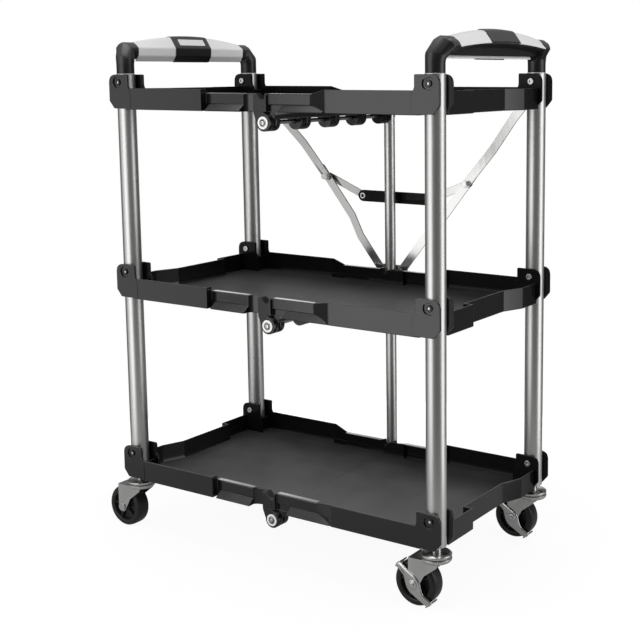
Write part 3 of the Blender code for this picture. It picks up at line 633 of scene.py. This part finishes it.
for level in LEVELS:
    node = f"hinge_rod_{level}"
    body = f"{level}_left_half"
    rod = surface(f"{node}_turned", bolt_points(node, *ROD_HEAD), caps=False)
    fit(rod, body, ZINC, "zinc_steel", node)
    x, _, z = middle(node)
    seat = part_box(node)[0][1] + BUSH_SEAT
    ring = eased([(6.6 * MM, 0), (6.6 * MM, 1.7 * MM), (BUSH_R, 1.7 * MM), (BUSH_R, 0)], 0.5 * MM)
    bush = surface(f"bush_{level}", turned(ring * (1, -1), (x, seat, z), "y"), along=True)
    fit(bush, body, NYLON, "tray_plastic")
    face = (x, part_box(node)[0][1], z)
    core = np.array([(5.3, -0.5), (5.3, 0.2), (4.8, 0.5), (2.4, 0.5), (2.2, -0.4)]) * MM
    button(f"{node}_core", face, core, body, DARK)
    socket = np.array([(3.5, 0), (3.5, 0.7), (3.0, 0.9), (1.6, 0.9), (1.3, 0.1)]) * MM
    button(f"{node}_socket", face, socket, body, ZINC)


# Folding braces
# Flat bars of bright plated steel, jogged so that they pass behind each other, with riveted joints.
# A black moulded bar ties the two elbows together and is pressed to release them.

steel = Finish("plated_bar", Metallic=1.0, Base_Color=(0.5, 0.5, 0.49, 1))
streak = steel.noise(40, 3, (1, 1, 0.3))
steel.set(Roughness=streak * 0.12 + 0.12)
STEEL = steel.bumped(streak, 0.3, 0.0006)


SOFT_ANGLE = math.radians(40)


def softened(node, width, finish, body, slot="zinc_steel"):
    """A copy of a CAD piece with its loose triangles merged, its flat faces joined and its edges rounded."""
    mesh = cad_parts[node].data.copy()
    mesh.transform(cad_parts[node].matrix_world)
    shape = bmesh.new()
    shape.from_mesh(mesh)
    bmesh.ops.remove_doubles(shape, verts=shape.verts, dist=1e-6)
    bmesh.ops.dissolve_limit(shape, angle_limit=math.radians(1), verts=shape.verts, edges=shape.edges)
    shape.to_mesh(mesh)
    shape.free()
    mesh.materials.clear()
    piece = bpy.data.objects.new(f"{node}_soft", mesh)
    bpy.context.scene.collection.objects.link(piece)
    bevel = piece.modifiers.new("edge", "BEVEL")
    bevel.width = width
    bevel.segments = 2
    bevel.limit_method = "ANGLE"
    bevel.angle_limit = SOFT_ANGLE
    mesh.shade_smooth()
    mesh.set_sharp_from_angle(angle=SOFT_ANGLE)
    fit(piece, body, finish, slot, node)


RIVET = eased([(5 * MM, 0), (5 * MM, 0.8 * MM), (3.6 * MM, 1.4 * MM), (0, 1.7 * MM)], 0.4 * MM, closed=False)
COLLAR = eased([(3.2 * MM, 0), (3.2 * MM, 0.9 * MM), (5.7 * MM, 0.9 * MM), (5.7 * MM, 0)], 0.2 * MM)
ELBOW = (158 * MM, 185 * MM)
RELEASE = (75.6 * MM, 219 * MM)
TOP_Z = pivot("left", "top")[2]

softened("brace_foot_plate", 0.4 * MM, ZINC, "centre_post")
softened("release_bar", 0.8 * MM, PLASTIC, "release_bar", "bar_plastic")
for side in SIDES:
    sign = -1 if side == "left" else 1
    softened(f"brace_upper_{side}", 0.5 * MM, STEEL, f"upper_brace_{side}")
    softened(f"brace_lower_{side}", 0.5 * MM, STEEL, f"lower_brace_{side}")
    softened(f"brace_short_{side}", 0.5 * MM, STEEL, f"short_link_{side}")
    x, z = CENTRE[0] + sign * ELBOW[0], TOP_Z - ELBOW[1]
    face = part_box(f"brace_lower_{side}")[0][1]
    button(f"elbow_rivet_{side}", (x, face + 0.2 * MM, z), RIVET * (1, 0.1), f"lower_brace_{side}", ZINC)
    x, z = CENTRE[0] + sign * RELEASE[0], TOP_Z - RELEASE[1]
    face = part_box("release_bar")[0][1]
    ring = turned(COLLAR * (1, -1), (x, face + 0.4 * MM, z), "y")
    fit(surface(f"release_collar_{side}", ring, along=True), "release_bar", NYLON, "bar_plastic")


# Handles
# A black moulded core with a mitred elbow over each post, a satin silver cover round the grip's inside
# and top, and a black saddle over its middle with a bare pale window.

GRIP_END = 137 * MM
GRIP_TOP = (70 * MM, 82 * MM)
GRIP_LIP = (54 * MM, 62 * MM)
SADDLE_HALF = 46 * MM
SADDLE_THICK = 1.5 * MM
COVER_CORNERS = 6
SHELL_DROP = 3.2 * MM
SHELL_FOOT = 42 * MM


def grip_ring(y, grow=0.0):
    """The grip's outline at one place: inner side, crease, top, outboard lip and hollow.
    Its top and its lip rise as parabolas."""
    rise = 1 - (y / GRIP_END) ** 2
    top = (GRIP_TOP[0] + (GRIP_TOP[1] - GRIP_TOP[0]) * rise) / MM
    lip = (GRIP_LIP[0] + (GRIP_LIP[1] - GRIP_LIP[0]) * rise) / MM
    corners = np.array([(-1, 39.5), (-7.5, 45), (-8.5, 60), (5, top), (17, top - 2), (30, lip),
                        (28, lip - 3), (9, lip - 9), (6, 39.5)]) * MM
    ring = eased(corners, np.array([2, 3, 2, 4, 4, 1.2, 1, 4, 1]) * MM, steps=5)
    away = ring - np.array([9.0, 55.0]) * MM
    return ring + away / np.linalg.norm(away, axis=1, keepdims=True) * grow


def grip_core(y_values, grow):
    """The whole outline carried along the grip."""
    rings = [grip_ring(y, grow) for y in y_values]
    return np.array([np.column_stack([ring[:, 0], np.full(len(ring), y), ring[:, 1]])
                     for ring, y in zip(rings, y_values)])


def grip_shell(y_values, grow, thick):
    """The outline's covered corners, outside and then inside, as a closed band carried along the grip.
    Its lowest corner hangs below the core, so that a thin edge shows from outboard."""
    count = COVER_CORNERS * 7
    outer = grip_core(y_values, grow)[:, :count]
    inner = grip_core(y_values, grow - thick)[:, :count]
    band = np.concatenate([outer, inner[:, ::-1]], axis=1)
    band[..., 2] -= SHELL_DROP * (band[..., 2] < SHELL_FOOT)
    return band


def on_handle(points, side):
    """Handle measures (outboard, along, up from the top pivot) as places in the frame."""
    turn = 1 if side == "right" else -1
    return pivot(side, "top") + np.asarray(points) * (turn, turn, 1)


paint = Finish("silver_cover", Base_Color=(0.66, 0.66, 0.66, 1))
fleck = paint.noise(500, 2)
paint.set(Roughness=fleck * 0.12 + 0.3)
COVER = paint.bumped(fleck, 0.05, 0.0001)

black = Finish("black_nylon")
# The faces that look up are painted lighter grey, a painted highlight from the light overhead
black.set(Base_Color=black.mixed(black.upwards(), (0.006, 0.006, 0.006, 1), (0.1, 0.1, 0.1, 1)))
matte = black.noise(700, 2)
black.set(Roughness=matte * 0.15 + 0.25)
BLACK = black.bumped(matte, 0.15, 0.0001)

pale = Finish("pale_window", Base_Color=(0.62, 0.62, 0.62, 1))
pale.set(Roughness=pale.noise(300) * 0.15 + 0.25)
WINDOW = pale.material

SOCKET_R = 15.2 * MM


def elbow_points(sign):
    """From the round socket up to a mitred knee and level into the grip's own outline.
    Each ring mixes a circle with the outline, by angle about the outline's middle, in a plane that tilts."""
    angle = np.linspace(0, math.tau, 72, endpoint=False)
    circle = np.column_stack([np.cos(angle), np.sin(angle)])
    ring = grip_ring(GRIP_END)
    core = np.array([11.0, 56.0]) * MM
    around = np.arctan2(ring[:, 1] - core[1], ring[:, 0] - core[0]) % math.tau
    reach = np.linalg.norm(ring - core, axis=1)
    order = np.argsort(around)
    outline = np.interp(angle, around[order], reach[order], period=math.tau)
    rows = []
    stations = [
        ((0, 162.5, 14.8), 0, 0, 1, 1), ((0, 162.5, 30), 0, 0, 1, 1), ((0.6, 162.5, 38), 17, 0.1, 1.03, 1.02),
        ((1.6, 162, 41), 25, 0.25, 1.05, 1.03), ((10, 155, 54.6), 58, 0.95, 1.06, 1.03),
        ((11, 152.5, 56), 68, 1, 1.05, 1.02), ((11, 146, 56), 90, 1, 0.99, 1),
        ((11, 144, 56), 90, 1, 0.985, 1), ((11, 137.6, 56), 90, 1, 0.985, 1), ((11, 137, 56), 90, 1, 0.9, 1),
    ]
    for (o, y, z), tilt, mix, swell, tall in stations:
        lean = math.radians(tilt)
        radius = (SOCKET_R * (1 - mix) + outline * mix) * swell
        up = np.array([0, sign * math.cos(lean), math.sin(lean)]) * tall
        centre = np.array([o, y * sign, z]) * MM
        rows.append(centre + (circle[:, :1] * radius[:, None]) * np.array([1, 0, 0])
                    + (circle[:, 1:] * radius[:, None]) * up)
    return np.array(rows)


def window_points():
    """A thin bare plate on the saddle's upper inboard facet, with eased corners."""
    low, high = np.array([-8.0, 61.5]) * MM, np.array([3.2, 78.5]) * MM
    way = (high - low) / np.linalg.norm(high - low)
    out = np.array([-way[1], way[0]])
    plan = eased([(-33, 3.5), (33, 3.5), (33, 16.5), (-33, 16.5)], 2, steps=6) * MM
    rows = []
    for lift, shrink in ((0, 0), (0.7, 0), (0.9, 0.4), (0.9, 1.2)):
        flat = plan * (1 - shrink * MM / np.linalg.norm(plan, axis=1, keepdims=True))
        spot = low + flat[:, 1:] * way + out * (SADDLE_THICK + lift * MM)
        rows.append(np.column_stack([spot[:, 0], flat[:, 0], spot[:, 1]]))
    return np.array(rows)


for side in SIDES:
    body = f"{side}_frame"
    ys = np.linspace(-GRIP_END, GRIP_END, 25)
    core = surface(f"grip_core_{side}", on_handle(grip_core(ys, -1.2 * MM), side))
    fit(core, body, BLACK, "handle_plastic", f"handle_frame_{side}")
    cover = surface(f"grip_cover_{side}", on_handle(grip_shell(ys, 0.2 * MM, 2.5 * MM), side))
    fit(cover, body, COVER, "cover_plastic", f"handle_cover_{side}")
    ys = np.linspace(-SADDLE_HALF, SADDLE_HALF, 9)
    saddle = surface(f"saddle_{side}", on_handle(grip_shell(ys, SADDLE_THICK, 2.5 * MM), side))
    fit(saddle, body, BLACK, "handle_plastic", f"handle_insert_{side}")
    fit(surface(f"window_{side}", on_handle(window_points(), side)), body, WINDOW, "handle_plastic")
    for sign, end in ((-1, "near"), (1, "far")):
        elbow = surface(f"elbow_{end}_{side}", on_handle(elbow_points(sign), side), sharp=28)
        fit(elbow, body, BLACK, "handle_plastic")


# Casters
# Plated swivel heads and forks with black tyred wheels, and spokes in the recesses of their hubs.
# The right-hand ones have a stamped toe brake, with a lip over the tread at each end.

rubber = Finish("black_tyre", Base_Color=(0.011, 0.011, 0.011, 1))
wear = rubber.noise(250, 4)
rubber.set(Roughness=wear * 0.2 + 0.24, Specular_IOR_Level=0.35)
TYRE = rubber.bumped(wear, 0.1, 0.0002)


def several(name, grids):
    """One piece from a few closed shells: grids of points, closed around and capped at their end rows."""
    points = []
    faces = []
    first = 0
    for grid in grids:
        rows, columns = grid.shape[:2]
        ends = [np.arange(columns)[::-1], np.arange(columns) + (rows - 1) * columns]
        faces += (grid_quads(rows, columns, True, False) + first).tolist()
        faces += [(end + first).tolist() for end in ends]
        points.append(grid.reshape(-1, 3))
        first += rows * columns
    return solid(name, np.vstack(points), faces)


SPOKES = 5
SPOKE_START = 0.5
SPOKE_R = (10 * MM, 25.4 * MM)
WHEEL_SIDE = np.array([(5.2, -13.0), (9.5, -13.0), (10.6, -12.0), (11.2, -6.6), (24.6, -6.0), (26.0, -12.6),
                       (28.0, -14.0), (33.8, -13.7), (36.9, -10.6), (37.5, -5.0)]) * MM


def wheel_rings(x, y, z):
    """Hub, deep recess, step and tyre, from one side over the tread to the other, turned about the axle."""
    half = eased(WHEEL_SIDE, 0.9 * MM, closed=False, steps=3)
    return turned(np.vstack([half, half[::-1] * (1, -1)]), (x, y, z), "y", 72)


def spoke(turn, towards):
    """A rib in the hub's recess: a straight eased bar from the boss to the rim, turned about the axle."""
    section = eased([(-1.7, 6.0), (-1.3, 11.4), (1.3, 11.4), (1.7, 6.0)], 0.5) * MM
    rows = []
    for radius in SPOKE_R:
        out = radius * np.array([math.cos(turn), math.sin(turn)])
        across = section[:, :1] * np.array([-math.sin(turn), math.cos(turn)])
        rows.append(np.column_stack([out[0] + across[:, 0], section[:, 1] * towards, out[1] + across[:, 1]]))
    return np.array(rows)


# Half of the pedal's outline about the axle. The other half is the same, turned half round.
PEDAL_EDGE = np.array([(-29.5, 29.9), (-24.8, 32.2), (-6, 20.5), (8, 12.5), (13.5, 2), (16.5, -12),
                       (27, -19.5), (34.2, -24.5)]) * MM
# The curled rim's section: how far in from the outline, and how far back
PEDAL_RIM = ((4.2, 0), (4, 0), (2, 0.15), (1, 0.6), (0.3, 1.3), (0, 2.4), (1, 2.6), (3, 2.2), (4, 2.2))
PEDAL_BEND = 2.2 * MM
PEDAL_FLAT = 12 * MM
PEDAL_WING = 28 * MM
# The lips over the tread: the angles between which each lies, in degrees, and their two radii
PEDAL_TABS = ((127, 146), (304, 323))
TAB_R = (41.0 * MM, 38.8 * MM)
TAB_LONG = 25 * MM


def pedal_points():
    """A stamped S with its rim curled back. Its wings bend towards the wheel by the square of their reach."""
    outline = eased(np.vstack([PEDAL_EDGE, -PEDAL_EDGE]), 7 * MM, steps=5)
    way = np.roll(outline, -1, axis=0) - np.roll(outline, 1, axis=0)
    way /= np.linalg.norm(way, axis=1, keepdims=True)
    inwards = np.column_stack([way[:, 1], -way[:, 0]])
    rows = []
    for inset, depth in PEDAL_RIM:
        ring = outline + inwards * inset * MM
        reach = np.linalg.norm(ring, axis=1)
        bend = PEDAL_BEND * np.clip((reach - PEDAL_FLAT) / PEDAL_WING, 0, 1) ** 2
        rows.append(np.column_stack([ring[:, 0], depth * MM + bend, ring[:, 1]]))
    return np.array(rows)


def tab_points(start, end):
    """A lip over the tread: a ring segment carried across the wheel, narrower and rounder at its far end."""
    rows = []
    for share, narrow in ((0.13, 0), (0.7, 0), (0.9, 0.12), (0.97, 0.25), (1.0, 0.4)):
        spread = (end - start) / 2 * (1 - narrow)
        angle = np.radians(np.linspace((start + end) / 2 - spread, (start + end) / 2 + spread, 7))
        way = np.column_stack([np.cos(angle), np.sin(angle)])
        ring = np.vstack([way * TAB_R[0], way[::-1] * TAB_R[1]])
        rows.append(np.column_stack([ring[:, 0], np.full(len(ring), TAB_LONG * share), ring[:, 1]]))
    return np.array(rows)


BOSS = eased(np.array([(8.6, -0.4), (8.2, 1.2), (5.4, 1.6), (4.6, 2.8), (0, 3.3)]) * MM,
             0.6 * MM, closed=False)

for side in SIDES:
    for end in ENDS:
        spot = f"{end}_{side}"
        softened(f"caster_head_{spot}", 0.5 * MM, ZINC, f"{side}_frame")
        softened(f"caster_fork_{spot}", 0.5 * MM, ZINC, f"fork_{spot}")
        softened(f"caster_axle_{spot}", 0.8 * MM, ZINC, f"fork_{spot}")
        hub = middle(f"caster_wheel_{spot}")
        wheel = surface(f"wheel_{spot}_turned", wheel_rings(*hub), along=True)
        fit(wheel, f"wheel_{spot}", TYRE, "tyre_rubber", f"caster_wheel_{spot}")
        turns = [math.tau * index / SPOKES + SPOKE_START for index in range(SPOKES)]
        ribs = [spoke(turn, towards) + hub for turn in turns for towards in (-1, 1)]
        fit(several(f"spokes_{spot}", ribs), f"wheel_{spot}", TYRE, "tyre_rubber")
        if side == "right":
            front = hub * (1, 0, 1) + (0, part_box(f"brake_pedal_{spot}")[0][1], 0)
            tabs = [tab_points(*tab) + front for tab in PEDAL_TABS]
            pedal = several(f"pedal_{spot}_stamped", [pedal_points() + front, *tabs])
            fit(pedal, f"pedal_{spot}", ZINC, "zinc_steel", f"brake_pedal_{spot}")
            button(f"pedal_boss_{spot}", front, BOSS, f"pedal_{spot}", ZINC)


# Studio
# A pale round floor, a white backdrop and a dim room in front of it, with two soft boxes at the left, one at
# the right and one overhead. The camera stands where it lines up the pivot bolts.

CAMERA_AZIMUTH = 32.091
CAMERA_ELEVATION = 8.045
CAMERA_ROLL = -0.184
CAMERA_FROM_TOP_PIVOTS = (1.2382, -1.6467, 0.0185)
FOCAL_PIXELS = 1184.3
SHIFT_PIXELS = (110, 82)
FRAME_PIXELS = 640
FLOOR_R = 0.85
FLOOR_STEPS = 96
FADE_FROM = 0.5
FADE_LONG = 0.3
FLOOR_GLOW = 1.25
ROOM = 0.12
AMBIENT = 0.7
# Each lamp's place, size and brightness
LAMPS = {
    "left_box": ((-0.42, -1.55, 0.45), (1.1, 2.3), 1.8),
    "fill_box": ((-1.4, -1.25, 0.45), (0.7, 2.3), 0.85),
    "right_box": ((1.85, 0.5, 0.45), (1.1, 2.3), 1.9),
    "top_box": ((0.1, -0.3, 2.4), (1.6, 1.6), 2.0),
}

angle = np.linspace(0, math.tau, FLOOR_STEPS, endpoint=False)
edge = np.column_stack([np.cos(angle), np.sin(angle), angle * 0]) * FLOOR_R
ground = bpy.data.meshes.new("floor")
ground.from_pydata(edge, [], [list(range(FLOOR_STEPS))])
floor = bpy.data.objects.new("floor", ground)
bpy.context.scene.collection.objects.link(floor)

sheet = Finish("pale_floor", Base_Color=(0.25, 0.25, 0.25, 1), Roughness=0.9)
place = sheet.node("ShaderNodeTexCoord", output=3)
away = sheet.node("ShaderNodeVectorMath", {"operation": "LENGTH"}, {0: place}, output=1)
fade = ((away - FADE_FROM) / FADE_LONG).clamped()
rays = sheet.node("ShaderNodeLightPath").socket.node.outputs
shine = Wire(sheet, rays["Is Glossy Ray"]) + Wire(sheet, rays["Is Transmission Ray"])
seen = (Wire(sheet, rays["Is Camera Ray"]) * (fade * 0.25 + 0.75) + shine * 0.15).clamped()
glow = sheet.node("ShaderNodeEmission", None, {"Color": (1, 1, 1, 1), "Strength": FLOOR_GLOW})
mix = sheet.node("ShaderNodeMixShader", None, {0: seen, 1: Wire(sheet, sheet.shader.outputs[0]), 2: glow})
sheet.tree.links.new(mix.socket, sheet.tree.nodes["Material Output"].inputs["Surface"])
ground.materials.append(sheet.material)

world = bpy.data.worlds.new("studio")
bpy.context.scene.world = world
world.use_nodes = True
room = Shading(world.node_tree)
turn = math.radians(CAMERA_AZIMUTH)
facing = room.along(room.node("ShaderNodeTexCoord"), (-math.sin(turn), math.cos(turn), 0))
backdrop = ((facing - 0.93) / 0.06).clamped()
rays = room.node("ShaderNodeLightPath").socket.node.outputs
shiny = (Wire(room, rays["Is Glossy Ray"]) + Wire(room, rays["Is Transmission Ray"])).clamped()
light = shiny * (backdrop * (1 - ROOM) + ROOM) + (1 - shiny) * AMBIENT
camera_ray = Wire(room, rays["Is Camera Ray"])
room.wire(world.node_tree.nodes["Background"],
          {"Color": (1, 1, 1, 1), "Strength": camera_ray + (1 - camera_ray) * light})


def soft_box(name, place, size, brightness):
    """A rectangular lamp that faces the cart. Its power is its brightness times its area times pi."""
    lamp = bpy.data.lights.new(name, "AREA")
    lamp.shape = "RECTANGLE"
    lamp.size, lamp.size_y = size
    lamp.energy = brightness * size[0] * size[1] * math.pi
    box = bpy.data.objects.new(name, lamp)
    bpy.context.scene.collection.objects.link(box)
    box.visible_camera = False
    box.location = place
    flat = math.hypot(place[0], place[1])
    rise = math.atan2(place[2] - 0.55, flat) if place[2] > 1 else 0.0
    box.rotation_euler = (math.pi / 2 - rise, 0, math.atan2(place[0], -place[1]))


for name, lamp in LAMPS.items():
    soft_box(name, *lamp)

camera = bpy.data.cameras.new("camera")
eye = bpy.data.objects.new("camera", camera)
bpy.context.scene.collection.objects.link(eye)
bpy.context.scene.camera = eye
camera.sensor_width = 36
camera.lens = FOCAL_PIXELS / FRAME_PIXELS * camera.sensor_width
camera.shift_x = -SHIFT_PIXELS[0] / FRAME_PIXELS
camera.shift_y = -SHIFT_PIXELS[1] / FRAME_PIXELS
eye.location = np.array([CENTRE[0], CENTRE[1], TOP_Z]) + CAMERA_FROM_TOP_PIVOTS
tilt = Matrix.Rotation(math.radians(90 - CAMERA_ELEVATION), 3, "X")
roll = Matrix.Rotation(math.radians(CAMERA_ROLL), 3, "Z")
eye.rotation_euler = (Matrix.Rotation(turn, 3, "Z") @ tilt @ roll).to_euler()
bpy.context.scene.view_settings.view_transform = "Standard"
